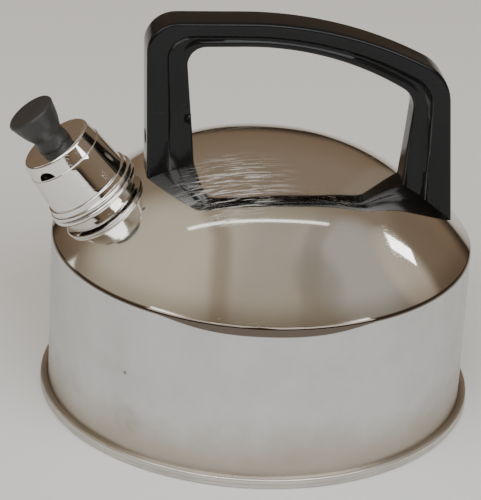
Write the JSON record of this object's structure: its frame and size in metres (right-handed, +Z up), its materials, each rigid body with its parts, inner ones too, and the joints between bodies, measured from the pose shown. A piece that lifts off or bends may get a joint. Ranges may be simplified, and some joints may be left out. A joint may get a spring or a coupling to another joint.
{
  "type": "kettle",
  "caption": "Round stovetop whistling kettle with a domed deck, an arched moulded handle and a pull-off whistle on a short tilted spout.",
  "frame": {"origin": "centre of the underside, on the axis of the body", "axes": "+Z up; the spout points towards -X; handle and spout lie in the XZ plane"},
  "size_m": [0.2356, 0.218, 0.1999],
  "materials": {
    "polished_steel": "polished deck, fine-brushed wall",
    "satin_steel": "satin",
    "chrome": "mirror chrome",
    "aluminium": "plain",
    "phenolic": "semi-gloss moulded",
    "knob_phenolic": "worn matt moulded",
    "zinc_steel": "zinc plated",
    "spring_brass": "spring strip",
    "brass": "turned"
  },
  "bodies": {
    "kettle": {"body_shell": "polished_steel", "base_pan": "satin_steel", "heat_disc": "aluminium", "base_cap": "satin_steel", "spout_neck": "chrome", "handle": "phenolic", "front_tang": "satin_steel", "rear_tang": "satin_steel", "front_screw": "zinc_steel", "rear_screw": "zinc_steel", "front_washer": "zinc_steel", "rear_washer": "zinc_steel"},
    "whistle": {"whistle_cap": "chrome", "cap_collar": "chrome", "whistle_plug": "satin_steel", "grip_springs": "spring_brass", "lower_disc": "satin_steel", "disc_spacer": "satin_steel", "upper_disc": "satin_steel", "knob": "knob_phenolic", "knob_insert": "brass", "knob_screw": "zinc_steel", "knob_washer": "zinc_steel"}
  },
  "joints": [
    {"name": "whistle_lift", "type": "slide", "parent": "kettle", "child": "whistle", "axis": [-0.6018, 0, 0.7986], "range_m": [0, 0.06]}
  ]
}
